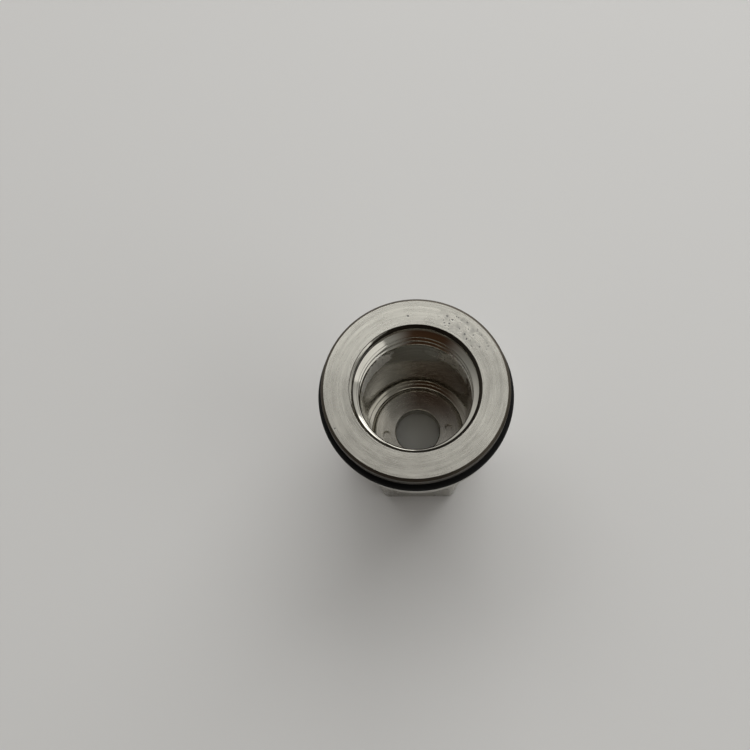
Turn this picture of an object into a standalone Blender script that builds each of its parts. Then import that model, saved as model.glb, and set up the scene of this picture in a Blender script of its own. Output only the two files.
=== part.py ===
"""Threaded sight glass: a turned steel housing with a glass disc clamped in its window end.

Metres, +Z up the axis. The origin is the centre of the window end, where the six flats are,
and the threaded mouth with its sealing ring points up.
"""

from math import cos, pi, radians, sin

import bmesh
import bpy

MM = 0.001
SEGMENTS = 48                       # sides of a round piece
CLEARANCE = 0.05 * MM               # between pieces that rest on each other
SHARP_ANGLE = radians(32)

# Housing, outside, from the window end to the mouth
HEIGHT = 38.0 * MM
BLANK_RADIUS = 12.55 * MM           # round bar that the six flats are milled on
FLAT_APOTHEM = 11.0 * MM            # 22 mm across flats
FLAT_TOP = 12.0 * MM
FLAT_RUNOUT = 0.25 * MM
NECK_TOP = 19.0 * MM
THREAD_LEAD = 0.7 * MM              # height of the lead-in cone under the male thread
COLLAR_RADIUS = 13.6 * MM
COLLAR_BOTTOM = 26.0 * MM
SHOULDER = 27.5 * MM                # underside of the flange
LAND_RADIUS = 15.4 * MM
EDGE_CHAMFER = 0.3 * MM
FACE_CHAMFER = 0.4 * MM
END_CHAMFER = 0.5 * MM
GROOVE_RADIUS = 13.45 * MM
GROOVE_BOTTOM = 32.3 * MM
GROOVE_TOP = 35.5 * MM

# Housing, inside, from the mouth to the window end
MOUTH_RADIUS = 10.8 * MM
RECESS_RADIUS = 10.25 * MM          # plain recess that leads into the thread
RECESS_BOTTOM = 36.05 * MM
THREAD_TOP = 35.5 * MM              # where the cone under the recess ends
BORE_RADIUS = 9.32 * MM
POCKET_TOP = 8.75 * MM
POCKET_RADIUS = 8.08 * MM
POCKET_CHAMFER = 0.57 * MM
LIP = 1.5 * MM
WINDOW_RADIUS = 5.5 * MM

# Threads. A start is the height where the helix begins.
THREAD_FOOT = 0.4375                # half of a groove's or a ridge's width, in pitches
THREAD_FADE = 0.5                   # turns in which a thread runs out
MALE_PITCH = 1.5 * MM
MALE_RADIUS = 13.45 * MM
MALE_DEPTH = 0.9 * MM
MALE_START = 19.8 * MM
MALE_TURNS = 3
PIPE_PITCH = 1.814 * MM             # G 1/2
PIPE_CORE = 9.27 * MM
PIPE_TIP = 10.48 * MM
PIPE_START = 31.37 * MM
PIPE_TURNS = 3
CLAMP_PITCH = 0.75 * MM             # between the retaining disc and its pocket
CLAMP_CORE = 7.95 * MM
CLAMP_TIP = 8.55 * MM
CLAMP_TURNS = 6
CLAMP_EXTRA_TURNS = 2               # how far the pocket's thread goes on below the disc's

# Sealing ring in the groove
RING_SECTION = 2.65 * MM
RING_BORE = 13.5 * MM
RING_STEPS = 14

# Window stack, from the lip up
STACK_RADIUS = 8.0 * MM
GASKET_BORE = 4.6 * MM
WINDOW_GASKET_BORE = 5.6 * MM
WINDOW_GASKET = 0.5 * MM
GLASS = 3.2 * MM
GLASS_BEVEL = 0.2 * MM
PRESSURE_GASKET = 0.4 * MM
SLIP_WASHER = 0.4 * MM
SLIP_WASHER_RADIUS = 7.9 * MM
DISC_TOP = 8.7 * MM
DISC_RADIUS = 7.9 * MM
DISC_THREAD_TIP = 8.35 * MM
DISC_THREAD_LEAD = 0.1 * MM
DISC_THREAD_TURNS = 2
DISC_BEVEL = 0.08 * MM
PORT_RADIUS = 4.12 * MM
PORT_CHAMFER = 0.15 * MM
DIMPLE_RADIUS = 0.8 * MM
DIMPLE_DEPTH = 0.8 * MM
DIMPLE_CIRCLE = 5.9 * MM
DIMPLE_ANGLE = radians(5.6)
DIMPLE_SIDES = 16

# Levels of the window stack, each piece lying on the one below
GASKET_BOTTOM = LIP + CLEARANCE
GLASS_BOTTOM = GASKET_BOTTOM + WINDOW_GASKET + CLEARANCE
SEAL_BOTTOM = GLASS_BOTTOM + GLASS + CLEARANCE
WASHER_BOTTOM = SEAL_BOTTOM + PRESSURE_GASKET + CLEARANCE
DISC_BOTTOM = WASHER_BOTTOM + SLIP_WASHER + CLEARANCE
DISC_THREAD_START = DISC_BOTTOM + DISC_THREAD_LEAD
CLAMP_START = DISC_THREAD_START - CLAMP_EXTRA_TURNS * CLAMP_PITCH


class Thread:
    """A helical ridge (tip outside the wall) or groove (tip inside it) that climbs one pitch a turn."""

    offsets = (0.0, THREAD_FOOT, 2 * THREAD_FOOT)
    rows = len(offsets)

    def __init__(self, wall, tip, pitch, start, turns):
        self.wall = wall
        self.tip = tip
        self.pitch = pitch
        self.start = start
        self.turns = turns

    def depth(self, along):
        """Depth of the groove at this many turns along the helix: it fades out at both ends."""
        fade = min(1.0, along / THREAD_FADE, (self.turns - along) / THREAD_FADE)
        return max(0.0, fade) * (self.tip - self.wall)

    def points(self, turn):
        """Radius and height of each row at this fraction of a turn."""
        result = []
        for row in range(self.turns * self.rows + 1):
            whole, part = divmod(row, self.rows)
            height = self.start + self.pitch * (whole + self.offsets[part] + turn)
            radius = self.wall
            if part == 1:
                radius += self.depth(whole + turn)
            result.append((radius, height))
        return result

    def seam(self):
        """Steps that join the last column to the first one, which lies a pitch lower."""
        level = (self.turns - 1) * self.rows
        return [(0, 1)] * self.rows + [(1, 1)] * level + [(1, 0)] * self.rows


def flatted(radius, height):
    """A row of the bar that the six flats cut: a hexagon with its corners rounded by the bar."""
    def row(turn):
        angle = (turn * 2 * pi) % (pi / 3) - pi / 6
        return min(radius, (FLAT_APOTHEM - BLANK_RADIUS + radius) / cos(angle)), height
    return row


def column(outline, turn):
    """Radius and height of every row of the outline at this fraction of a turn."""
    points = []
    for item in outline:
        if isinstance(item, Thread):
            points += item.points(turn)
        elif callable(item):
            points.append(item(turn))
        else:
            points.append(item)
    return points


def seam_steps(outline):
    """Steps up the outline between the last column and the first one."""
    steps = []
    for item in outline:
        steps.append((1, 1))
        if isinstance(item, Thread):
            steps += item.seam()
    return steps[1:]


def turned(name, outline, closed=True):
    """Turn an outline about Z. It runs up the outer side; a closed one comes back down a bore."""
    bm = bmesh.new()
    poles = {}
    columns = []
    for side in range(SEGMENTS):
        turn = side / SEGMENTS
        verts = []
        for radius, height in column(outline, turn):
            if radius > 0:
                angle = 2 * pi * turn
                verts.append(bm.verts.new((radius * cos(angle), radius * sin(angle), height)))
            else:
                if height not in poles:
                    poles[height] = bm.verts.new((0, 0, height))
                verts.append(poles[height])
        columns.append(verts)
    for side, left in enumerate(columns):
        right = columns[(side + 1) % SEGMENTS]
        last = side == SEGMENTS - 1
        steps = seam_steps(outline) if last else [(1, 1)] * (len(left) - 1)
        if closed:
            steps = steps + [(1, 1)]
        weave(bm, left, right, steps)
    mesh = bpy.data.meshes.new(name)
    bm.normal_update()
    bm.to_mesh(mesh)
    bm.free()
    return add_object(name, mesh)


def weave(bm, left, right, steps):
    """Fill the strip between two columns, walking up both by the given steps."""
    low_left = low_right = 0
    for step_left, step_right in steps:
        high_left = (low_left + step_left) % len(left)
        high_right = (low_right + step_right) % len(right)
        corners = [left[low_left], right[low_right], right[high_right], left[high_left]]
        corners = list(dict.fromkeys(corners))
        if len(corners) > 2:
            bm.faces.new(corners)
        low_left, low_right = high_left, high_right


def add_object(name, mesh):
    """Put a mesh in the scene, shaded smooth between its sharp edges."""
    mesh.shade_smooth()
    mesh.set_sharp_from_angle(angle=SHARP_ANGLE)
    part = bpy.data.objects.new(name, mesh)
    bpy.context.scene.collection.objects.link(part)
    return part


def cut(part, cutter):
    """Take the cutter's shape out of the part."""
    cutter.hide_render = True
    cutter.display_type = "WIRE"
    cutter.parent = part
    boolean = part.modifiers.new("cut by " + cutter.name, "BOOLEAN")
    boolean.operation = "DIFFERENCE"
    boolean.solver = "EXACT"
    boolean.object = cutter


def finish(part, name, colour, metallic, roughness, transmission=0.0):
    """Give a piece a material of its own."""
    material = bpy.data.materials.new(name)
    material.use_nodes = True
    shader = material.node_tree.nodes["Principled BSDF"]
    shader.inputs["Base Color"].default_value = (*colour, 1.0)
    shader.inputs["Metallic"].default_value = metallic
    shader.inputs["Roughness"].default_value = roughness
    shader.inputs["Transmission Weight"].default_value = transmission
    part.data.materials.append(material)


def tap(name, core, tip, pitch, start, turns):
    """A threaded rod, a little thinner than the hole whose wall its ridge cuts."""
    top = start + (turns + 2) * pitch
    thread = Thread(core, tip, pitch, start, turns)
    outline = [(0, start - pitch), (core, start - pitch), thread, (core, top), (0, top)]
    return turned(name, outline, closed=False)


def make_housing():
    outline = [
        flatted(BLANK_RADIUS - END_CHAMFER, 0),
        flatted(BLANK_RADIUS, END_CHAMFER),
        flatted(BLANK_RADIUS, FLAT_TOP),
        (BLANK_RADIUS, FLAT_TOP + FLAT_RUNOUT),
        (BLANK_RADIUS, NECK_TOP),
        (MALE_RADIUS, NECK_TOP + THREAD_LEAD),
        Thread(MALE_RADIUS, MALE_RADIUS - MALE_DEPTH, MALE_PITCH, MALE_START, MALE_TURNS),
        (MALE_RADIUS, COLLAR_BOTTOM),
        (COLLAR_RADIUS, COLLAR_BOTTOM + EDGE_CHAMFER),
        (COLLAR_RADIUS, SHOULDER),
        (LAND_RADIUS - EDGE_CHAMFER, SHOULDER),
        (LAND_RADIUS, SHOULDER + EDGE_CHAMFER),
        (LAND_RADIUS, GROOVE_BOTTOM),
        (GROOVE_RADIUS, GROOVE_BOTTOM),
        (GROOVE_RADIUS, GROOVE_TOP),
        (LAND_RADIUS, GROOVE_TOP),
        (LAND_RADIUS, HEIGHT - FACE_CHAMFER),
        (LAND_RADIUS - FACE_CHAMFER, HEIGHT),
        (MOUTH_RADIUS, HEIGHT),
        (RECESS_RADIUS, HEIGHT - (MOUTH_RADIUS - RECESS_RADIUS)),
        (RECESS_RADIUS, RECESS_BOTTOM),
        (BORE_RADIUS, THREAD_TOP),
        (BORE_RADIUS, POCKET_TOP),
        (POCKET_RADIUS + POCKET_CHAMFER, POCKET_TOP),
        (POCKET_RADIUS, POCKET_TOP - POCKET_CHAMFER),
        (POCKET_RADIUS, LIP),
        (WINDOW_RADIUS, LIP),
        (WINDOW_RADIUS, END_CHAMFER),
        (WINDOW_RADIUS + END_CHAMFER, 0),
    ]
    housing = turned("housing", outline)
    finish(housing, "turned stainless steel", (0.56, 0.54, 0.49), 1.0, 0.3)
    cut(housing, tap("pipe_tap", PIPE_CORE, PIPE_TIP, PIPE_PITCH, PIPE_START, PIPE_TURNS))
    cut(housing, tap("clamp_tap", CLAMP_CORE, CLAMP_TIP, CLAMP_PITCH, CLAMP_START, CLAMP_TURNS))


def make_sealing_ring():
    section = RING_SECTION / 2
    centre = RING_BORE + section
    middle = (GROOVE_BOTTOM + GROOVE_TOP) / 2
    outline = []
    for step in range(RING_STEPS):
        angle = 2 * pi * step / RING_STEPS
        outline.append((centre + section * cos(angle), middle + section * sin(angle)))
    ring = turned("outer_o_ring", outline)
    finish(ring, "black rubber", (0.012, 0.012, 0.012), 0.0, 0.45)


def make_flat_ring(name, bottom, thickness, outer, bore):
    top = bottom + thickness
    return turned(name, [(outer, bottom), (outer, top), (bore, top), (bore, bottom)])


def make_window_stack():
    gasket = make_flat_ring("window_gasket", GASKET_BOTTOM, WINDOW_GASKET, STACK_RADIUS, WINDOW_GASKET_BORE)
    finish(gasket, "window gasket ptfe", (0.8, 0.8, 0.77), 0.0, 0.5)

    top = GLASS_BOTTOM + GLASS
    outline = [
        (0, GLASS_BOTTOM),
        (STACK_RADIUS - GLASS_BEVEL, GLASS_BOTTOM),
        (STACK_RADIUS, GLASS_BOTTOM + GLASS_BEVEL),
        (STACK_RADIUS, top - GLASS_BEVEL),
        (STACK_RADIUS - GLASS_BEVEL, top),
        (0, top),
    ]
    glass = turned("glass_disc", outline, closed=False)
    finish(glass, "clear glass", (0.9, 0.95, 0.93), 0.0, 0.03, transmission=1.0)

    gasket = make_flat_ring("pressure_gasket", SEAL_BOTTOM, PRESSURE_GASKET, STACK_RADIUS, GASKET_BORE)
    finish(gasket, "pressure gasket ptfe", (0.8, 0.8, 0.77), 0.0, 0.5)

    washer = make_flat_ring("slip_washer", WASHER_BOTTOM, SLIP_WASHER, SLIP_WASHER_RADIUS, GASKET_BORE)
    finish(washer, "washer stainless steel", (0.56, 0.54, 0.5), 1.0, 0.25)


def make_retaining_disc():
    thread = Thread(DISC_RADIUS, DISC_THREAD_TIP, CLAMP_PITCH, DISC_THREAD_START, DISC_THREAD_TURNS)
    outline = [
        (DISC_RADIUS - DISC_BEVEL, DISC_BOTTOM),
        (DISC_RADIUS, DISC_BOTTOM + DISC_BEVEL),
        thread,
        (DISC_RADIUS, DISC_TOP - DISC_BEVEL),
        (DISC_RADIUS - DISC_BEVEL, DISC_TOP),
        (PORT_RADIUS + PORT_CHAMFER, DISC_TOP),
        (PORT_RADIUS, DISC_TOP - PORT_CHAMFER),
        (PORT_RADIUS, DISC_BOTTOM),
    ]
    disc = turned("retaining_disc", outline)
    finish(disc, "disc stainless steel", (0.58, 0.56, 0.52), 1.0, 0.28)
    for number, side in enumerate((1, -1), start=1):
        drill = make_dimple_drill("dimple_drill_%d" % number)
        x = side * DIMPLE_CIRCLE * cos(DIMPLE_ANGLE)
        y = side * DIMPLE_CIRCLE * sin(DIMPLE_ANGLE)
        drill.location = (x, y, DISC_TOP)
        cut(disc, drill)


def make_dimple_drill(name):
    """A flat-ended cutter for a dimple in the face that its centre lies in."""
    bm = bmesh.new()
    bmesh.ops.create_cone(
        bm, cap_ends=True, segments=DIMPLE_SIDES,
        radius1=DIMPLE_RADIUS, radius2=DIMPLE_RADIUS, depth=2 * DIMPLE_DEPTH,
    )
    mesh = bpy.data.meshes.new(name)
    bm.to_mesh(mesh)
    bm.free()
    return add_object(name, mesh)


for old in list(bpy.data.objects):
    bpy.data.objects.remove(old, do_unlink=True)

make_housing()
make_sealing_ring()
make_window_stack()
make_retaining_disc()
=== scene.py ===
"""Looks of the threaded sight glass: fine turned meshes, worn steel, black rubber, glass, and soft light.

Sizes are in metres, in the part's own frame: +Z up the axis, origin at the centre of the window end.
"""

from math import cos, pi, radians, sin, tan
from types import SimpleNamespace

import bmesh
import bpy
import numpy as np
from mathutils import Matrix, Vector


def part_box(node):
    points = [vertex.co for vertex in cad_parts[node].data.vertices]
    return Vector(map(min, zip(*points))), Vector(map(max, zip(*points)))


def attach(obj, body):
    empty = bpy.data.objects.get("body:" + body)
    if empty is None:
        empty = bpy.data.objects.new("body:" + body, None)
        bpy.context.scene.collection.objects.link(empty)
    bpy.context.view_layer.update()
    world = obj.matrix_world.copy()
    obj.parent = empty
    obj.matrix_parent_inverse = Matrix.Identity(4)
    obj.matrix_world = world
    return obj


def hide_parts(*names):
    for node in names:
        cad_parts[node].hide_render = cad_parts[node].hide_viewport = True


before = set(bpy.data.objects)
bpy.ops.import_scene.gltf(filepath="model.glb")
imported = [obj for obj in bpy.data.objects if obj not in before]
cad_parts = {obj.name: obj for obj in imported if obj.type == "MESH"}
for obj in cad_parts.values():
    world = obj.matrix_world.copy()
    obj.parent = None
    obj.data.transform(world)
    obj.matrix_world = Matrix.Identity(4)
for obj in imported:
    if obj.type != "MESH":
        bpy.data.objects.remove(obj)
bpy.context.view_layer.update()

MM = 0.001
SIDES = 192                         # columns round a turned piece
ANGLES = np.arange(SIDES) * 2 * pi / SIDES

HOUSING_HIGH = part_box("housing")[1]
RING_LOW, RING_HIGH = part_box("outer_o_ring")
DISC_LOW, DISC_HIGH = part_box("retaining_disc")
GLASS_LOW, GLASS_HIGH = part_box("glass_disc")


# ---------------------------------------------------------------- turned meshes

FILLET_STEPS = 3
LONGEST_FILLET = 0.4                # share of a run that the fillet at its end may take
SUPPORT = 1.15                      # where the points that keep the flats flat are, in fillets
SHARP = radians(60)


class Outline:
    """Rows of points along one side of a turned piece.

    A row's radius may be one number, or one for each column. The same holds for its material slot, which is
    the slot of the faces between it and the next row.
    """

    def __init__(self):
        self.radii = []
        self.heights = []
        self.slots = []
        self.slot = 0

    def row(self, radius, height):
        self.radii.append(np.broadcast_to(radius, SIDES))
        self.heights.append(height)
        self.slots.append(np.broadcast_to(self.slot, SIDES))

    def line(self, points, fillet=0.0, closed=False):
        """Straight runs through the points, with the corners between them rounded."""
        first, last = (points[-1], points[0]) if closed else (None, None)
        for before, corner, after in zip([first] + points[:-1], points, points[1:] + [last]):
            if fillet and before and after:
                for radius, height in rounded_corner(before, corner, after, fillet):
                    self.row(radius, height)
            else:
                self.row(*corner)


def rounded_corner(before, corner, after, fillet):
    """A quadratic curve in place of a corner, with a point beyond each end that keeps the flats flat."""
    centre = Vector(corner)
    ends = []
    supports = []
    for other in (before, after):
        way = Vector(other) - centre
        reach = min(fillet, way.length * LONGEST_FILLET)
        ends.append(centre + way.normalized() * reach)
        supports.append(centre + way.normalized() * reach * SUPPORT)
    yield supports[0]
    for step in range(FILLET_STEPS + 1):
        t = step / FILLET_STEPS
        yield ends[0] * (1 - t) ** 2 + centre * 2 * t * (1 - t) + ends[1] * t ** 2
    yield supports[1]


def turned_points(outline):
    radii = np.array(outline.radii)
    points = np.empty((*radii.shape, 3))
    points[:, :, 0] = radii * np.cos(ANGLES)
    points[:, :, 1] = radii * np.sin(ANGLES)
    points[:, :, 2] = np.array(outline.heights)[:, None]
    return points.reshape(-1, 3)


def turned_faces(rows, closed):
    """Four corners for each face, or three beside a pole, row by row."""
    for low in range(rows if closed else rows - 1):
        high = (low + 1) % rows
        for side in range(SIDES):
            after = (side + 1) % SIDES
            below = [low * SIDES + side, low * SIDES + after]
            above = [high * SIDES + after, high * SIDES + side]
            if not closed and low == 0:
                below = [0]
            if not closed and high == rows - 1:
                above = [high * SIDES]
            yield below + above


def turned(name, outline, materials, closed=True):
    """The outline turned about Z. One that isn't closed starts and ends at a pole, on the axis."""
    faces = list(turned_faces(len(outline.heights), closed))
    mesh = bpy.data.meshes.new(name)
    mesh.from_pydata(turned_points(outline), [], faces)
    mesh.polygons.foreach_set("material_index", np.ravel(outline.slots)[:len(faces)])
    mesh.shade_smooth()
    mesh.set_sharp_from_angle(angle=SHARP)
    for material in materials:
        mesh.materials.append(material)
    piece = bpy.data.objects.new(name, mesh)
    bpy.context.scene.collection.objects.link(piece)
    drop_loose_points(mesh)
    return piece


def drop_loose_points(mesh):
    """Take away the points of the pole rows that no face uses."""
    bm = bmesh.new()
    bm.from_mesh(mesh)
    for vert in list(bm.verts):
        if not vert.link_faces:
            bm.verts.remove(vert)
    bm.to_mesh(mesh)
    bm.free()


# ---------------------------------------------------------------- housing

FLATS, OUTSIDE, RIM, FACE, PAINTED_SHADE, BORE = range(6)    # its material slots

BLANK_RADIUS = 12.55 * MM
FLAT_APOTHEM = 11.0 * MM
FLAT_TOP = 12.0 * MM
FLAT_CORNER = 0.02 * MM             # how much the corners of the flats are rounded
NECK_TOP = 19.0 * MM
COLLAR_BOTTOM = 26.0 * MM
MALE_RADIUS = 13.45 * MM
MALE_PITCH = 1.5 * MM
MALE_ROOT = 12.55 * MM
MALE_ROOT_HALF = 0.09 * MM          # half the width of the flat at its root
MALE_FLANK = radians(30)
MALE_LEAD_IN = 0.7 * MM
MALE_RUN_OUT = (COLLAR_BOTTOM - 0.2 * MM, COLLAR_BOTTOM - 0.8 * MM)
COLLAR_RADIUS = 13.6 * MM
SHOULDER = 27.5 * MM
GROOVE_RADIUS = 13.45 * MM
GROOVE_BOTTOM = 32.3 * MM
GROOVE_TOP = 35.5 * MM
END_CHAMFER = 0.5 * MM
EDGE_CHAMFER = 0.3 * MM
FACE_CHAMFER = 0.4 * MM
MOUTH_RADIUS = 10.8 * MM
MOUTH_EDGE = 0.05 * MM              # how far the rounding of the mouth's edge reaches
RECESS_RADIUS = 10.25 * MM          # plain recess that leads into the thread
RECESS_BOTTOM = 36.05 * MM
THREAD_TOP = 35.5 * MM
RECESS_SOFTNESS = 0.05 * MM
CHAMFER_SOFTNESS = 0.08 * MM        # how much the corner under the mouth's chamfer is rounded
# Painted shade in the mouth: how far the dark slot reaches, in place of its shade and dark reflections
PAINTED_SHADE_EDGE = 0.06 * MM               # how far down the mouth's edge is dark, all round
PAINTED_SHADE_CHAMFER = 0.5 * MM             # how far down most of the mouth is painted dark, as its shade
PAINTED_SHADE_RECESS = (0.53 * MM, 1.6 * MM)     # from where to where it is dark on the -X side
PAINTED_SHADE_SIDE = (radians(105), radians(150), radians(215), radians(245))   # none, full, full, none
BORE_RADIUS = 9.32 * MM
PIPE_PITCH = 1.814 * MM
PIPE_MAJOR = 10.48 * MM
PIPE_ROOT_ROUND = 0.249 * MM
PIPE_FLANK = radians(27.5)
PIPE_END = 31.7 * MM
PIPE_PHASE = radians(180)
PIPE_FIRST_DEPTH = 1.3 * MM         # depth of the groove's middle at the phase angle
PIPE_RUN_IN = 0.6 * MM
PIPE_RUN_OUT = 0.35 * PIPE_PITCH
POCKET_TOP = 8.75 * MM
POCKET_RADIUS = 8.08 * MM
POCKET_CHAMFER = 0.57 * MM
LIP = 1.5 * MM
WINDOW_RADIUS = 5.5 * MM
FILLET = 0.12 * MM
RIM_FILLET = 0.06 * MM
BORE_FILLET = 0.08 * MM
SOFTNESS = 0.05 * MM                # how much the male thread's edges are rounded
PIPE_SOFTNESS = 0.28 * MM           # the same for the female thread, a Whitworth form
LEAST_SOFTNESS = 0.01 * MM
THREAD_ROW = 0.05 * MM              # how far apart the rows are on a male thread
MOUTH_ROW = 0.04 * MM
CHAMFER_ROWS = ((1, 0), (0.14, 0.86), (0.07, 0.93), (0, 1.08))     # inset and height, in chamfers
RUN_OUT_ROWS = ((0, 0), (0.04, 0.02), (0.1, 0.12), (0.25, 1.2), (0.29, 1.6))    # up and out, in mm
NECK_ROWS = (0.32, 0.36, 0.6)       # how far up the round neck's first rows are, in mm

HEIGHT = HOUSING_HIGH.z
LAND_RADIUS = HOUSING_HIGH.x


def ramp(value, empty, full):
    """0 at one value, 1 at the other and beyond it."""
    return min(1.0, max(0.0, (value - empty) / (full - empty)))


def soft_max(a, b, width=SOFTNESS):
    return 0.5 * (a + b + np.sqrt((a - b) ** 2 + width ** 2))


def soft_min(a, b, width=SOFTNESS):
    return -soft_max(-a, -b, width)


def flatted(radius, apothem):
    """Radius of a round bar with six flats, one of them facing -Y."""
    angle = ANGLES % (pi / 3) - pi / 6
    return soft_min(radius, apothem / np.cos(angle), FLAT_CORNER)


def offset_in_pitch(height, pitch, phase_height, phase_angle):
    """Distance along the axis from the middle of a right-hand thread's nearest groove, or ridge."""
    middle = phase_height + pitch * (ANGLES - phase_angle) / (2 * pi)
    return (height - middle + pitch / 2) % pitch - pitch / 2


def pipe_groove(height):
    """Radius of the female thread's groove at this height, all round."""
    away = np.abs(offset_in_pitch(height, PIPE_PITCH, HEIGHT - PIPE_FIRST_DEPTH, PIPE_PHASE))
    apex = PIPE_MAJOR + PIPE_ROOT_ROUND / sin(PIPE_FLANK) - PIPE_ROOT_ROUND
    flank = apex - away / tan(PIPE_FLANK)
    bulge = PIPE_ROOT_ROUND ** 2 - np.minimum(away, PIPE_ROOT_ROUND) ** 2
    root = PIPE_MAJOR - PIPE_ROOT_ROUND + np.sqrt(bulge)
    touch = PIPE_ROOT_ROUND * cos(PIPE_FLANK)
    return np.where(away < touch, root, flank)


def mouth_radius(height):
    """Radius inside the mouth: its chamfer, the recess, the cone under it, the bore and the thread."""
    edge = max(0.0, 1 - (HEIGHT - height) / MOUTH_EDGE) ** 2 * MOUTH_EDGE / 2
    chamfer = MOUTH_RADIUS - (HEIGHT - height) + edge
    slope = (RECESS_RADIUS - BORE_RADIUS) / (RECESS_BOTTOM - THREAD_TOP)
    cone = BORE_RADIUS + (height - THREAD_TOP) * slope
    recess = soft_min(RECESS_RADIUS, cone, RECESS_SOFTNESS)
    wall = soft_max(soft_max(BORE_RADIUS, recess, RECESS_SOFTNESS), chamfer, CHAMFER_SOFTNESS)
    start = ramp(height, RECESS_BOTTOM + PIPE_RUN_IN, RECESS_BOTTOM)
    end = ramp(height, PIPE_END, PIPE_END + PIPE_RUN_OUT)
    groove = wall + (pipe_groove(height) - wall) * start * end
    return soft_max(wall, groove, PIPE_SOFTNESS * start * end + LEAST_SOFTNESS)


def mouth_slot(depth):
    """Painted shade: the mouth's edge all round and most of its chamfer take a dark slot that stands in for
    shade and dark reflections, and on the -X side the painted dark runs on into the recess below.
    """
    run = np.interp(ANGLES, PAINTED_SHADE_SIDE, (0, 1, 1, 0))
    recess_top, recess_bottom = PAINTED_SHADE_RECESS
    top = run * recess_top
    bottom = PAINTED_SHADE_CHAMFER + run * (recess_bottom - PAINTED_SHADE_CHAMFER)
    painted_dark = (depth < PAINTED_SHADE_EDGE) | (depth >= top) & (depth < bottom)
    return np.where(painted_dark, PAINTED_SHADE, BORE)


def male_radius(height):
    """Radius of the male thread under the flange, with its lead-in cone and its run-out."""
    away = np.abs(offset_in_pitch(height, MALE_PITCH, NECK_TOP, 0.0))
    groove = MALE_ROOT + np.maximum(0, away - MALE_ROOT_HALF) / tan(MALE_FLANK)
    fade = ramp(height, *MALE_RUN_OUT)
    thread = MALE_RADIUS - np.maximum(0, MALE_RADIUS - groove) * fade
    cone = BLANK_RADIUS + (height - NECK_TOP) * (MALE_RADIUS - BLANK_RADIUS) / MALE_LEAD_IN
    return soft_min(cone, thread)


def add_flats(outline):
    """The hexagon, with a chamfer at its end, and where the cutter that milled the flats came out."""
    outline.slot = FLATS
    for inset, height in CHAMFER_ROWS:
        radius = BLANK_RADIUS - inset * END_CHAMFER
        apothem = FLAT_APOTHEM - inset * END_CHAMFER
        outline.row(flatted(radius, apothem), height * END_CHAMFER)
    for rise, growth in RUN_OUT_ROWS:
        outline.row(flatted(BLANK_RADIUS, FLAT_APOTHEM + growth * MM), FLAT_TOP + rise * MM)


def add_outside(outline):
    """The neck, the male thread, the collar and the shoulder, up to the ring's groove."""
    outline.slot = OUTSIDE
    for rise in NECK_ROWS:
        outline.row(BLANK_RADIUS, FLAT_TOP + rise * MM)
    outline.row(BLANK_RADIUS, NECK_TOP - 0.1 * MM)
    for height in np.arange(NECK_TOP, COLLAR_BOTTOM, THREAD_ROW):
        outline.row(male_radius(height), height)
    outline.line([
        (MALE_RADIUS, COLLAR_BOTTOM),
        (COLLAR_RADIUS, COLLAR_BOTTOM + EDGE_CHAMFER),
        (COLLAR_RADIUS, SHOULDER),
        (LAND_RADIUS - EDGE_CHAMFER, SHOULDER),
        (LAND_RADIUS, SHOULDER + EDGE_CHAMFER),
        (LAND_RADIUS, GROOVE_BOTTOM),
        (GROOVE_RADIUS, GROOVE_BOTTOM),
        (GROOVE_RADIUS, GROOVE_TOP),
    ], FILLET)


def add_rim_and_face(outline):
    """The rim over the ring's groove, and the flat face."""
    # the rim's slot is painted dark, in place of the shaded floor and black ring that it reflects
    outline.slot = RIM
    outline.row(LAND_RADIUS - FILLET, GROOVE_TOP)
    outline.line([
        (LAND_RADIUS - FILLET, GROOVE_TOP),
        (LAND_RADIUS, GROOVE_TOP),
        (LAND_RADIUS, HEIGHT - FACE_CHAMFER),
        (LAND_RADIUS - FACE_CHAMFER, HEIGHT),
        ((LAND_RADIUS + MOUTH_RADIUS) / 2, HEIGHT),
    ], RIM_FILLET)
    outline.slot = FACE
    outline.slots[-2:] = [np.full(SIDES, FACE)] * 2     # the line ends on the face
    outline.row(MOUTH_RADIUS + 0.8 * MOUTH_EDGE, HEIGHT)
    outline.row(MOUTH_RADIUS + 0.6 * MOUTH_EDGE, HEIGHT)


def add_inside(outline):
    """The mouth and its thread, the bore, the disc's pocket, the lip and the window."""
    for height in np.arange(HEIGHT - 0.01 * MM, PIPE_END - 0.1 * MM, -MOUTH_ROW):
        outline.slot = mouth_slot(HEIGHT - height)
        outline.row(mouth_radius(height), height)
    outline.slot = BORE
    outline.line([
        (BORE_RADIUS, PIPE_END - 0.2 * MM),
        (BORE_RADIUS, POCKET_TOP),
        (POCKET_RADIUS + POCKET_CHAMFER, POCKET_TOP),
        (POCKET_RADIUS, POCKET_TOP - POCKET_CHAMFER),
        (POCKET_RADIUS, LIP),
        (WINDOW_RADIUS, LIP),
        (WINDOW_RADIUS, END_CHAMFER),
        (WINDOW_RADIUS + END_CHAMFER, 0),
    ], BORE_FILLET)
    outline.slots[-1] = np.full(SIDES, OUTSIDE)         # the end face, back to the first row


def housing_outline():
    outline = Outline()
    for add_stretch in (add_flats, add_outside, add_rim_and_face, add_inside):
        add_stretch(outline)
    return outline


# ---------------------------------------------------------------- small pieces

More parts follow.
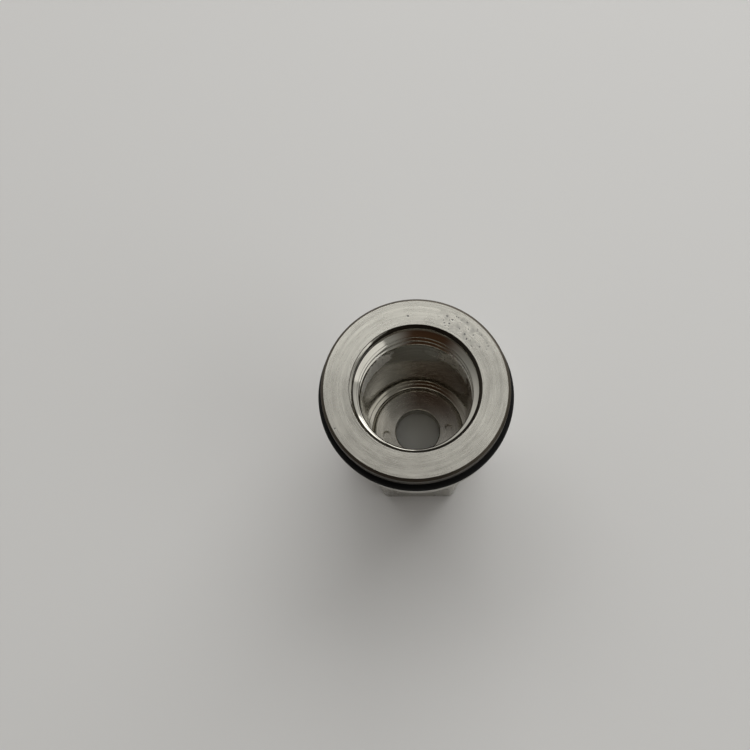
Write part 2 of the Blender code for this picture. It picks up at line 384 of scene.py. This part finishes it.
DISC_RADIUS = 7.9 * MM
PORT_RADIUS = 4.12 * MM
DISC_THREAD_PITCH = 0.75 * MM
DISC_THREAD_DEPTH = 0.45 * MM
DISC_THREAD_HALF = 0.4375 * DISC_THREAD_PITCH
DISC_THREAD_FIRST = 0.43 * MM       # height of the first ridge over the disc's underside
DISC_THREAD_FADE = 0.5 * MM
DISC_CHAMFER = 0.08 * MM
PORT_CHAMFER = 0.15 * MM
DIMPLE_RADIUS = 0.8 * MM
DIMPLE_DEPTH = 0.8 * MM
DIMPLE_TAPER = 0.8
DIMPLE_SIDES = 40
DIMPLE_SHARP = radians(35)
DIMPLE_CIRCLE = 5.9 * MM
DIMPLE_ANGLE = radians(5.6)
RING_STEPS = 48
WASHER_BORE = 4.6 * MM
WINDOW_GASKET_BORE = 5.6 * MM
WASHER_FILLET = 0.04 * MM
GLASS_BEVEL = 0.2 * MM
SMALL_FILLET = 0.05 * MM


def ring_outline():
    """The sealing ring's round section."""
    outline = Outline()
    section = (RING_HIGH.z - RING_LOW.z) / 2
    centre = RING_HIGH.x - section
    middle = (RING_HIGH.z + RING_LOW.z) / 2
    for step in range(RING_STEPS):
        angle = 2 * pi * step / RING_STEPS
        outline.row(centre + section * cos(angle), middle + section * sin(angle))
    return outline


def disc_outline():
    outline = Outline()
    low, high = DISC_LOW.z, DISC_HIGH.z
    thread_low = low + 0.1 * MM
    thread_high = high - 0.1 * MM
    outline.line([(DISC_RADIUS - DISC_CHAMFER, low), (DISC_RADIUS, low + DISC_CHAMFER)])
    for height in np.arange(thread_low, thread_high, THREAD_ROW):
        away = np.abs(offset_in_pitch(height, DISC_THREAD_PITCH, low + DISC_THREAD_FIRST, 0.0))
        ridge = DISC_THREAD_DEPTH * np.maximum(0, 1 - away / DISC_THREAD_HALF)
        run_in = ramp(height, low, low + DISC_THREAD_FADE)
        run_out = ramp(height, thread_high, thread_high - DISC_THREAD_FADE)
        outline.row(DISC_RADIUS + ridge * min(run_in, run_out), height)
    outline.line([
        (DISC_RADIUS, thread_high),
        (DISC_RADIUS - DISC_CHAMFER, high),
        (PORT_RADIUS + PORT_CHAMFER, high),
        (PORT_RADIUS, high - PORT_CHAMFER),
        (PORT_RADIUS, low),
    ], SMALL_FILLET)
    return outline


def drill(piece, angle, top):
    """Cut a blind hole for a pin spanner into the disc's top face."""
    bm = bmesh.new()
    bmesh.ops.create_cone(
        bm, cap_ends=True, segments=DIMPLE_SIDES,
        radius1=DIMPLE_RADIUS * DIMPLE_TAPER, radius2=DIMPLE_RADIUS, depth=2 * DIMPLE_DEPTH,
    )
    mesh = bpy.data.meshes.new("drill")
    bm.to_mesh(mesh)
    bm.free()
    cutter = bpy.data.objects.new("drill", mesh)
    cutter.location = (DIMPLE_CIRCLE * cos(angle), DIMPLE_CIRCLE * sin(angle), top)
    bpy.context.scene.collection.objects.link(cutter)
    boolean = piece.modifiers.new("drill", "BOOLEAN")
    boolean.operation = "DIFFERENCE"
    boolean.solver = "EXACT"
    boolean.object = cutter
    graph = bpy.context.evaluated_depsgraph_get()
    cut = bpy.data.meshes.new_from_object(piece.evaluated_get(graph))
    piece.modifiers.clear()
    piece.data = cut
    cut.shade_smooth()
    cut.set_sharp_from_angle(angle=DIMPLE_SHARP)
    bpy.data.objects.remove(cutter)


def flat_ring_outline(node, bore):
    low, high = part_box(node)
    outline = Outline()
    corners = [(high.x, low.z), (high.x, high.z), (bore, high.z), (bore, low.z)]
    outline.line(corners, WASHER_FILLET, closed=True)
    return outline


def glass_outline():
    outline = Outline()
    radius = GLASS_HIGH.x
    outline.line([
        (0.0, GLASS_LOW.z),
        (radius - GLASS_BEVEL, GLASS_LOW.z),
        (radius, GLASS_LOW.z + GLASS_BEVEL),
        (radius, GLASS_HIGH.z - GLASS_BEVEL),
        (radius - GLASS_BEVEL, GLASS_HIGH.z),
        (0.0, GLASS_HIGH.z),
    ], SMALL_FILLET)
    return outline


# ---------------------------------------------------------------- materials

STEEL = (0.66, 0.64, 0.58)
FLAT_STEEL = (0.54, 0.52, 0.47)
OUTER_STEEL = (0.52, 0.5, 0.45)
FACE_STEEL = (0.6, 0.583, 0.522)
BORE_STEEL = (0.56, 0.54, 0.48)
# painted shade: near-black rim, standing in for the shaded floor and the black ring that it reflects
RIM_PAINTED_DARK_STEEL = (0.095, 0.082, 0.064)
# painted shade: near-black for the shaded mouth, which reflects dark things
PAINTED_SHADE_STEEL = (0.05, 0.043, 0.034)
STAIN = (0.035, 0.034, 0.036, 1.0)
# painted light: pale colour for the lit patches on the bore wall
PAINTED_LIGHT_PALE = (0.95, 0.93, 0.86, 1.0)

RING_DRIFT = 0.6 * MM               # how far the tool marks' noise moves in a radian
DARKEST_MARK = 0.75                 # share of the colour that the darkest tool marks keep
DARKEST_LINE = 0.8                  # the same for the lines along the drawn bar
PIT_ANGLES = (radians(27), radians(70))
PIT_RADII = (11.3 * MM, 14.2 * MM)
DEEP_MARK = (12.3 * MM, 12.36 * MM)     # from which radius to which a deeper tool mark runs
NICKS = [                           # x, y and size
    (-1.1 * MM, 12.3 * MM, 0.22 * MM),
    (5.35 * MM, 12.1 * MM, 0.28 * MM),
    (-13.0 * MM, -6.7 * MM, 0.22 * MM),
]
# where light is painted on the bore wall, round the axis and up it
LIT_PATCH_LEFT = (radians(118), radians(172))
LIT_PATCH_RIGHT = (radians(16), radians(70))
LIT_PATCH_HEIGHTS = (27.0 * MM, PIPE_END)


class Nodes:
    """A short way to build a material's node tree."""

    def __init__(self, tree):
        self.tree = tree

    def add(self, kind, **inputs):
        node = self.tree.nodes.new("ShaderNode" + kind)
        for name, value in inputs.items():
            self.put(node, name.replace("_", " "), value)
        return node

    def put(self, node, name, value):
        socket = node.inputs[int(name)] if name.isdigit() else node.inputs[name]
        if isinstance(value, bpy.types.NodeSocket):
            self.tree.links.new(value, socket)
        else:
            socket.default_value = value

    def math(self, operation, a, b=0.0):
        node = self.add("Math")
        node.operation = operation
        self.put(node, "0", a)
        self.put(node, "1", b)
        return node.outputs[0]

    def remap(self, value, low, high, to_low=0.0, to_high=1.0):
        """Move a value from one range to another, and hold it there."""
        node = self.add("MapRange", Value=value, From_Min=low, From_Max=high, To_Min=to_low, To_Max=to_high)
        return node.outputs["Result"]

    def smooth(self, value, low, high):
        """0 up to the low value and 1 from the high one, or the other way round if they are swapped."""
        node = self.add("MapRange", Value=value, From_Min=low, From_Max=high)
        node.interpolation_type = "SMOOTHSTEP"
        return node.outputs["Result"]

    def turning_noise(self, radius, height, angle, scale, detail):
        """Noise in thin rings that change slowly on the way round, and close without a seam."""
        across = self.math("MULTIPLY", self.math("COSINE", angle), RING_DRIFT)
        along = self.math("MULTIPLY", self.math("SINE", angle), RING_DRIFT)
        rings = self.add("CombineXYZ", X=radius, Y=height, Z=across)
        noise = self.add("TexNoise", Vector=rings.outputs[0], Scale=scale, Detail=detail)
        noise.noise_dimensions = "4D"
        self.put(noise, "W", along)
        return noise.outputs[0]

    def wobble(self, place, scale, reach):
        """The position, moved about by noise so that round shapes become uneven."""
        noise = self.add("TexNoise", Vector=place, Scale=scale, Detail=2.0)
        shift = self.vector("SUBTRACT", noise.outputs["Color"], (0.5, 0.5, 0.5))
        return self.vector("ADD", place, self.vector("MULTIPLY", shift, (reach, reach, reach)))

    def vector(self, operation, a, b):
        node = self.add("VectorMath")
        node.operation = operation
        self.put(node, "0", a)
        self.put(node, "1", b)
        return node.outputs["Value" if operation == "DISTANCE" else "Vector"]

    def between(self, value, low, high, edge):
        """1 between the two values, and 0 outside them, with soft edges."""
        above = self.smooth(value, low - edge, low + edge)
        below = self.smooth(value, high + edge, high - edge)
        return self.math("MULTIPLY", above, below)

    def mix(self, share, a, b):
        """The first colour, with a share of the second."""
        node = self.add("Mix")
        node.data_type = "RGBA"
        self.put(node, "0", share)
        self.put(node, "6", a)
        self.put(node, "7", b)
        return node.outputs[2]


def principled(name, colour, metallic, roughness, **settings):
    """A material with its constant values on the shader's own sockets."""
    material = bpy.data.materials.new(name)
    material.use_nodes = True
    shader = material.node_tree.nodes["Principled BSDF"]
    shader.inputs["Base Color"].default_value = (*colour, 1.0)
    shader.inputs["Metallic"].default_value = metallic
    shader.inputs["Roughness"].default_value = roughness
    for setting, value in settings.items():
        shader.inputs[setting.replace("_", " ")].default_value = value
    return material, Nodes(material.node_tree), shader


def turning_coordinates(nodes):
    """A point's place on a turned piece: its radius, height and angle, and its plain position."""
    place = nodes.add("TexCoord").outputs["Object"]
    x, y, z = nodes.add("SeparateXYZ", Vector=place).outputs
    square = nodes.math("ADD", nodes.math("MULTIPLY", x, x), nodes.math("MULTIPLY", y, y))
    return SimpleNamespace(
        radius=nodes.math("SQRT", square),
        height=z,
        angle=nodes.math("ARCTAN2", y, x),
        place=place,
    )


def turned_steel(name, colour, roughness, marks, mark_height, anisotropy=0.5, wear_and_painted_light=None, worn_and_painted_light_colour=STAIN):
    """Lathe-turned stainless steel: fine tool marks that run round the axis, and uneven roughness.

    marks is the number of marks in a millimetre, and mark_height how deep they look. wear_and_painted_light
    lays marks over the turning, real damage on the face since then and painted light in the bore: how much
    of each point takes the colour worn_and_painted_light_colour, how much rougher it is there, and how
    deep.
    """
    material, nodes, shader = principled(
        name, colour, 1.0, roughness, Anisotropic=anisotropy, Anisotropic_Rotation=0.25,
    )
    at = turning_coordinates(nodes)
    fine = nodes.turning_noise(at.radius, at.height, at.angle, 1000.0 * marks, 4.0)
    coarse = nodes.turning_noise(at.radius, at.height, at.angle, 180.0 * marks, 2.0)
    cloud = nodes.add("TexNoise", Vector=at.place, Scale=300.0, Detail=3.0).outputs[0]
    lines = nodes.math("ADD", fine, nodes.math("MULTIPLY", coarse, 1.5))
    relief = nodes.math("MULTIPLY", lines, mark_height)
    rough = nodes.math("ADD", nodes.remap(fine, 0.3, 0.7, -0.05, 0.05), roughness)
    rough = nodes.math("ADD", nodes.remap(cloud, 0.3, 0.7, -0.03, 0.03), rough)
    tone = nodes.remap(coarse, 0.3, 0.7)
    dim = tuple(DARKEST_MARK * channel for channel in colour)
    shade = nodes.mix(tone, (*dim, 1.0), (*colour, 1.0))
    if wear_and_painted_light:
        share, rougher, deep = wear_and_painted_light(nodes, at)
        shade = nodes.mix(share, shade, worn_and_painted_light_colour)
        nodes.put(shader, "Metallic", nodes.math("SUBTRACT", 1.0, share))
        rough = nodes.math("ADD", rough, rougher)
        relief = nodes.math("SUBTRACT", relief, deep)
    bump = nodes.add("Bump", Strength=1.0, Distance=1.0, Height=relief)
    nodes.put(shader, "Normal", bump.outputs[0])
    nodes.put(shader, "Roughness", rough)
    nodes.put(shader, "Base Color", shade)
    tangent = nodes.add("Tangent")
    tangent.direction_type = "RADIAL"
    tangent.axis = "Z"
    nodes.put(shader, "Tangent", tangent.outputs[0])
    return material


def drawn_steel(name, colour, roughness):
    """Cold-drawn hexagon bar: faint lines along the axis, and dull scuffs."""
    material, nodes, shader = principled(name, colour, 1.0, roughness)
    place = nodes.add("TexCoord").outputs["Object"]
    x, y, z = nodes.add("SeparateXYZ", Vector=place).outputs
    along = nodes.add("CombineXYZ", X=x, Y=y, Z=nodes.math("MULTIPLY", z, 0.03))
    lines = nodes.add("TexNoise", Vector=along.outputs[0], Scale=2500.0, Detail=4.0)
    scuffs = nodes.add("TexNoise", Vector=place, Scale=350.0, Detail=5.0)
    bump = nodes.add("Bump", Strength=1.0, Distance=0.004 * MM, Height=lines.outputs[0])
    dim = tuple(DARKEST_LINE * channel for channel in colour)
    rough = nodes.remap(scuffs.outputs[0], 0.35, 0.7, roughness - 0.06, roughness + 0.1)
    nodes.put(shader, "Normal", bump.outputs[0])
    nodes.put(shader, "Roughness", rough)
    nodes.put(shader, "Base Color", nodes.mix(lines.outputs[0], (*dim, 1.0), (*colour, 1.0)))
    return material


def pitted_patch(nodes, at, moved, cloud):
    """Small pits and a faint stain on one side of the face."""
    around = nodes.between(at.angle, *PIT_ANGLES, radians(9))
    across = nodes.between(at.radius, *PIT_RADII, 0.4 * MM)
    cells = nodes.add("TexVoronoi", Vector=moved, Scale=1900.0)
    hole = nodes.smooth(cells.outputs["Distance"], 0.42, 0.2)
    chosen = nodes.smooth(cells.outputs["Color"], 0.4, 0.55)
    pits = nodes.math("MULTIPLY", nodes.math("MULTIPLY", hole, chosen), 0.9)
    stain = nodes.remap(cloud, 0.45, 0.65, 0.0, 0.4)
    patch = nodes.math("MULTIPLY", around, across)
    return nodes.math("MULTIPLY", patch, nodes.math("MAXIMUM", pits, stain))


def corroded_face(nodes, at):
    """A pitted patch, three nicks, and one tool mark that is deeper than the rest."""
    moved = nodes.wobble(at.place, 2500.0, 0.5 * MM)
    cloud = nodes.add("TexNoise", Vector=at.place, Scale=900.0, Detail=3.0).outputs[0]
    dark = pitted_patch(nodes, at, moved, cloud)
    for x, y, size in NICKS:
        reach = nodes.vector("DISTANCE", moved, (x, y, HEIGHT))
        nick = nodes.smooth(reach, size, size * 0.5)
        dark = nodes.math("MAXIMUM", dark, nodes.math("MULTIPLY", nick, 0.8))
    mark = nodes.between(at.radius, *DEEP_MARK, 0.06 * MM)
    mark = nodes.math("MULTIPLY", mark, nodes.remap(cloud, 0.4, 0.65, 0.05, 0.3))
    dark = nodes.math("MAXIMUM", dark, mark)
    return dark, nodes.math("MULTIPLY", dark, 0.3), nodes.math("MULTIPLY", dark, 0.02 * MM)


def painted_light_bore(nodes, at):
    """Painted light under the thread: two pale patches with uneven edges stand in for light falling on the
    bore wall there, on a rougher, slightly deeper frosted finish.
    """
    waver = nodes.add("TexNoise", Vector=at.place, Scale=420.0, Detail=4.0).outputs[0]
    grain = nodes.add("TexNoise", Vector=at.place, Scale=2600.0, Detail=3.0).outputs[0]
    sway = nodes.remap(waver, 0.3, 0.7, -1.0, 1.0)
    angle = nodes.math("ADD", at.angle, nodes.math("MULTIPLY", sway, radians(9)))
    height = nodes.math("ADD", at.height, nodes.math("MULTIPLY", sway, 1.3 * MM))
    left = nodes.between(angle, *LIT_PATCH_LEFT, radians(5))
    right = nodes.between(angle, *LIT_PATCH_RIGHT, radians(9))
    sides = nodes.math("MAXIMUM", left, nodes.math("MULTIPLY", right, 0.8))
    patch = nodes.math("MULTIPLY", sides, nodes.between(height, *LIT_PATCH_HEIGHTS, 0.5 * MM))
    share = nodes.math("MULTIPLY", patch, nodes.remap(grain, 0.35, 0.6, 0.5, 1.0))
    deep = nodes.math("MULTIPLY", nodes.math("MULTIPLY", patch, grain), 0.03 * MM)
    return share, nodes.math("MULTIPLY", share, 0.4), deep


def rubber():
    """Black and dull, with a fine grain and a trace of dust."""
    black = (0.003, 0.003, 0.003)
    material, nodes, shader = principled("ring_rubber", black, 0.0, 0.6, Specular_IOR_Level=0.1)
    place = nodes.add("TexCoord").outputs["Object"]
    grain = nodes.add("TexNoise", Vector=place, Scale=4000.0, Detail=3.0)
    patches = nodes.add("TexNoise", Vector=place, Scale=350.0, Detail=2.0)
    bump = nodes.add("Bump", Strength=0.3, Distance=0.01 * MM, Height=grain.outputs[0])
    nodes.put(shader, "Normal", bump.outputs[0])
    nodes.put(shader, "Roughness", nodes.remap(patches.outputs[0], 0.3, 0.7, 0.55, 0.75))
    dusty = nodes.mix(patches.outputs[0], (0.0015, 0.0015, 0.0015, 1), (0.004, 0.004, 0.004, 1))
    nodes.put(shader, "Base Color", dusty)
    return material


def glass():
    """Milky glass, slightly hazed."""
    milky = (0.93, 0.94, 0.91)
    material, nodes, shader = principled("milky_glass", milky, 0.0, 0.1, Transmission_Weight=0.1, IOR=1.47)
    place = nodes.add("TexCoord").outputs["Object"]
    haze = nodes.add("TexNoise", Vector=place, Scale=600.0, Detail=4.0)
    nodes.put(shader, "Roughness", nodes.remap(haze.outputs[0], 0.3, 0.7, 0.1, 0.2))
    return material


def ptfe():
    """White, waxy and faintly mottled."""
    material, nodes, shader = principled("gasket_ptfe", (0.8, 0.8, 0.77), 0.0, 0.5)
    place = nodes.add("TexCoord").outputs["Object"]
    mottle = nodes.add("TexNoise", Vector=place, Scale=900.0, Detail=4.0)
    shade = nodes.mix(mottle.outputs[0], (0.74, 0.74, 0.7, 1), (0.84, 0.84, 0.81, 1))
    nodes.put(shader, "Base Color", shade)
    bump = nodes.add("Bump", Strength=0.2, Distance=0.01 * MM, Height=mottle.outputs[0])
    nodes.put(shader, "Normal", bump.outputs[0])
    return material


# ---------------------------------------------------------------- the pieces

housing_steel = [                   # in the order of the housing's slots
    drawn_steel("drawn_flats", FLAT_STEEL, 0.28),
    turned_steel("turned_outside", OUTER_STEEL, 0.25, marks=8, mark_height=0.003 * MM),
    # painted dark reflection on the rim
    turned_steel("rim_painted_dark", RIM_PAINTED_DARK_STEEL, 0.3, marks=8, mark_height=0.003 * MM),
    turned_steel(
        "faced_steel", FACE_STEEL, 0.28, marks=10, mark_height=0.004 * MM,
        anisotropy=0.6, wear_and_painted_light=corroded_face,
    ),
    # painted shade and dark reflection on the mouth's edge, chamfer and -X recess
    turned_steel("painted_shade_mouth", PAINTED_SHADE_STEEL, 0.3, marks=8, mark_height=0.003 * MM),
    # the bore, with painted light patches under its thread
    turned_steel(
        "bored_steel", BORE_STEEL, 0.1, marks=8, mark_height=0.0015 * MM,
        anisotropy=0.0, wear_and_painted_light=painted_light_bore, worn_and_painted_light_colour=PAINTED_LIGHT_PALE,
    ),
]

housing = turned("housing_turned", housing_outline(), housing_steel)
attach(housing, "housing")
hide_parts("housing")

sealing_ring = turned("sealing_ring", ring_outline(), [rubber()])
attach(sealing_ring, "housing")
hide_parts("outer_o_ring")

disc_steel = turned_steel("disc_steel", OUTER_STEEL, 0.24, marks=7, mark_height=0.004 * MM, anisotropy=0.8)
disc = turned("retaining_disc_faced", disc_outline(), [disc_steel])
for side in (0, pi):
    drill(disc, DIMPLE_ANGLE + side, DISC_HIGH.z)
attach(disc, "retainer")
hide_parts("retaining_disc")

washer_steel = turned_steel("washer_steel", STEEL, 0.25, marks=8, mark_height=0.003 * MM)
washer = turned("slip_washer_ground", flat_ring_outline("slip_washer", WASHER_BORE), [washer_steel])
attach(washer, "slip_washer")
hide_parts("slip_washer")

gasket_white = ptfe()
for node, bore in (("pressure_gasket", WASHER_BORE), ("window_gasket", WINDOW_GASKET_BORE)):
    gasket = turned(node + "_cut", flat_ring_outline(node, bore), [gasket_white])
    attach(gasket, "housing")
    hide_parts(node)

window = turned("glass_disc_polished", glass_outline(), [glass()], closed=False)
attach(window, "housing")
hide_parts("glass_disc")


# ---------------------------------------------------------------- camera

LENS = 47.5                         # millimetres
SENSOR = 36.0
CAMERA_PLACE = Vector((1.70, -45.18, 191.2)) * MM
CAMERA_TILT = radians(17.16)
CAMERA_LEAN = radians(3.07)


def make_camera():
    data = bpy.data.cameras.new("camera")
    data.lens = LENS
    data.sensor_width = SENSOR
    data.clip_start = 5 * MM
    data.clip_end = 100.0
    camera = bpy.data.objects.new("camera", data)
    camera.location = CAMERA_PLACE
    camera.rotation_euler = (CAMERA_TILT, CAMERA_LEAN, 0)
    bpy.context.scene.collection.objects.link(camera)
    bpy.context.scene.camera = camera


# ---------------------------------------------------------------- floor and light

FLOOR_REACH = 3.0                   # from the part to each of the floor's sides
FLOOR_GAP = 0.02 * MM               # keeps the floor clear of the part's end
FLOOR_GREY = (0.62, 0.615, 0.6)
PERSON_X = -0.17                    # of the direction to the person's middle
PERSON_TAPER = 0.5                  # how much narrower the person is, for each unit of height
PERSON_EDGE = (0.6, 0.95)           # how far aside the room starts to show, and shows in full
PERSON_FOOT = (0.55, 0.3)           # Z of the directions where the person starts to fade, and stops
FOOT_SHARE = 0.35                   # of the room's light that shows there
FAR_SIDE = (-0.2, 0.5)              # Y of the directions where the far side starts, and is full
PERSON_BROWN = (0.05, 0.026, 0.014, 1)
NEAR_GREY = (0.3, 0.3, 0.29, 1)
FAR_GREY = (0.74, 0.74, 0.73, 1)
SOFTBOXES = [                       # name, direction, distance and size in metres, power in watts
    ("key_light", (0.35, 0.85, 0.65), 1.3, 1.2, 9.5),
    ("far_left_light", (-0.35, 0.6, 0.85), 1.2, 0.5, 1.4),
    ("right_light", (0.85, -0.25, 0.6), 1.2, 0.9, 2.1),
    ("top_light", (0.35, 0.1, 0.93), 1.2, 0.4, 0.4),
]


def make_floor():
    mesh = bpy.data.meshes.new("floor")
    reach = FLOOR_REACH
    corners = [(-reach, -reach, 0), (reach, -reach, 0), (reach, reach, 0), (-reach, reach, 0)]
    mesh.from_pydata(corners, [], [(0, 1, 2, 3)])
    mesh.materials.append(principled("pale_floor", FLOOR_GREY, 0.0, 0.6)[0])
    floor = bpy.data.objects.new("floor", mesh)
    floor.location.z = -FLOOR_GAP
    bpy.context.scene.collection.objects.link(floor)


def make_world():
    """A pale room, brightest on +Y. A person stands on -Y, dim and brown, and less so low down."""
    world = bpy.data.worlds.new("room")
    bpy.context.scene.world = world
    world.use_nodes = True
    nodes = Nodes(world.node_tree)
    way = nodes.add("TexCoord").outputs["Generated"]
    x, y, z = nodes.add("SeparateXYZ", Vector=way).outputs
    from_person = nodes.math("ABSOLUTE", nodes.math("SUBTRACT", x, PERSON_X))
    aside = nodes.math("ADD", from_person, nodes.math("MULTIPLY", z, PERSON_TAPER))
    beside = nodes.smooth(aside, *PERSON_EDGE)
    beyond = nodes.smooth(y, *FAR_SIDE)
    below = nodes.math("MULTIPLY", nodes.smooth(z, *PERSON_FOOT), FOOT_SHARE)
    lit = nodes.math("MAXIMUM", nodes.math("MAXIMUM", beside, beyond), below)
    colour = nodes.mix(lit, PERSON_BROWN, nodes.mix(beyond, NEAR_GREY, FAR_GREY))
    nodes.put(world.node_tree.nodes["Background"], "Color", colour)


def make_softbox(name, way, distance, size, power):
    """A square area light that looks at the part from the given direction."""
    data = bpy.data.lights.new(name, "AREA")
    data.shape = "SQUARE"
    data.size = size
    data.energy = power
    light = bpy.data.objects.new(name, data)
    place = Vector(way).normalized() * distance
    light.location = place
    light.rotation_mode = "QUATERNION"
    light.rotation_quaternion = (-place).to_track_quat("-Z", "Y")
    bpy.context.scene.collection.objects.link(light)


make_camera()
make_floor()
make_world()
for softbox in SOFTBOXES:
    make_softbox(*softbox)
bpy.context.scene.view_settings.view_transform = "Standard"
